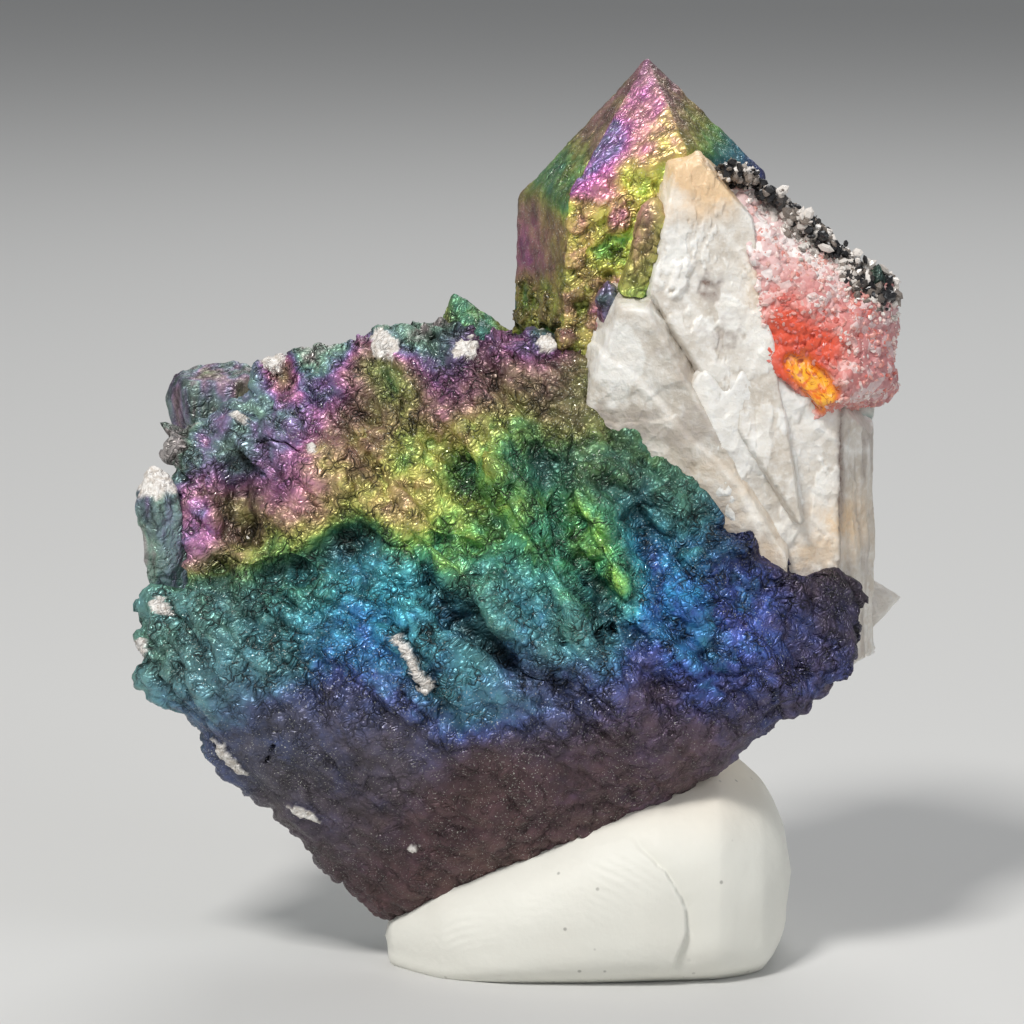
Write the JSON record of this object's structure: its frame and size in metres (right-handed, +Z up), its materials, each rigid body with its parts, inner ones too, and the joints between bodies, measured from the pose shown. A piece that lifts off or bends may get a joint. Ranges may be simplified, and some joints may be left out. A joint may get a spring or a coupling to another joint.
{
  "type": "quartz crystal specimen on putty",
  "caption": "Iridescent iron-filmed quartz cluster with a pointed crystal and broken milky quartz, standing in a lump of mounting putty.",
  "frame": {"origin": "centre of the bottom of the object's box, on the putty's flat foot", "axes": "+Z up along the pointed crystal, -Y towards the iridescent front, +X to the right seen from the front"},
  "size_m": [0.043, 0.0206, 0.0498],
  "materials": {
    "iridescent_quartz": "iron-oxide film with rainbow colours over milky quartz",
    "mounting_putty": "matt, finger-pressed"
  },
  "bodies": {
    "root": {"quartz_cluster": "iridescent_quartz", "putty_lump": "mounting_putty"}
  },
  "joints": []
}
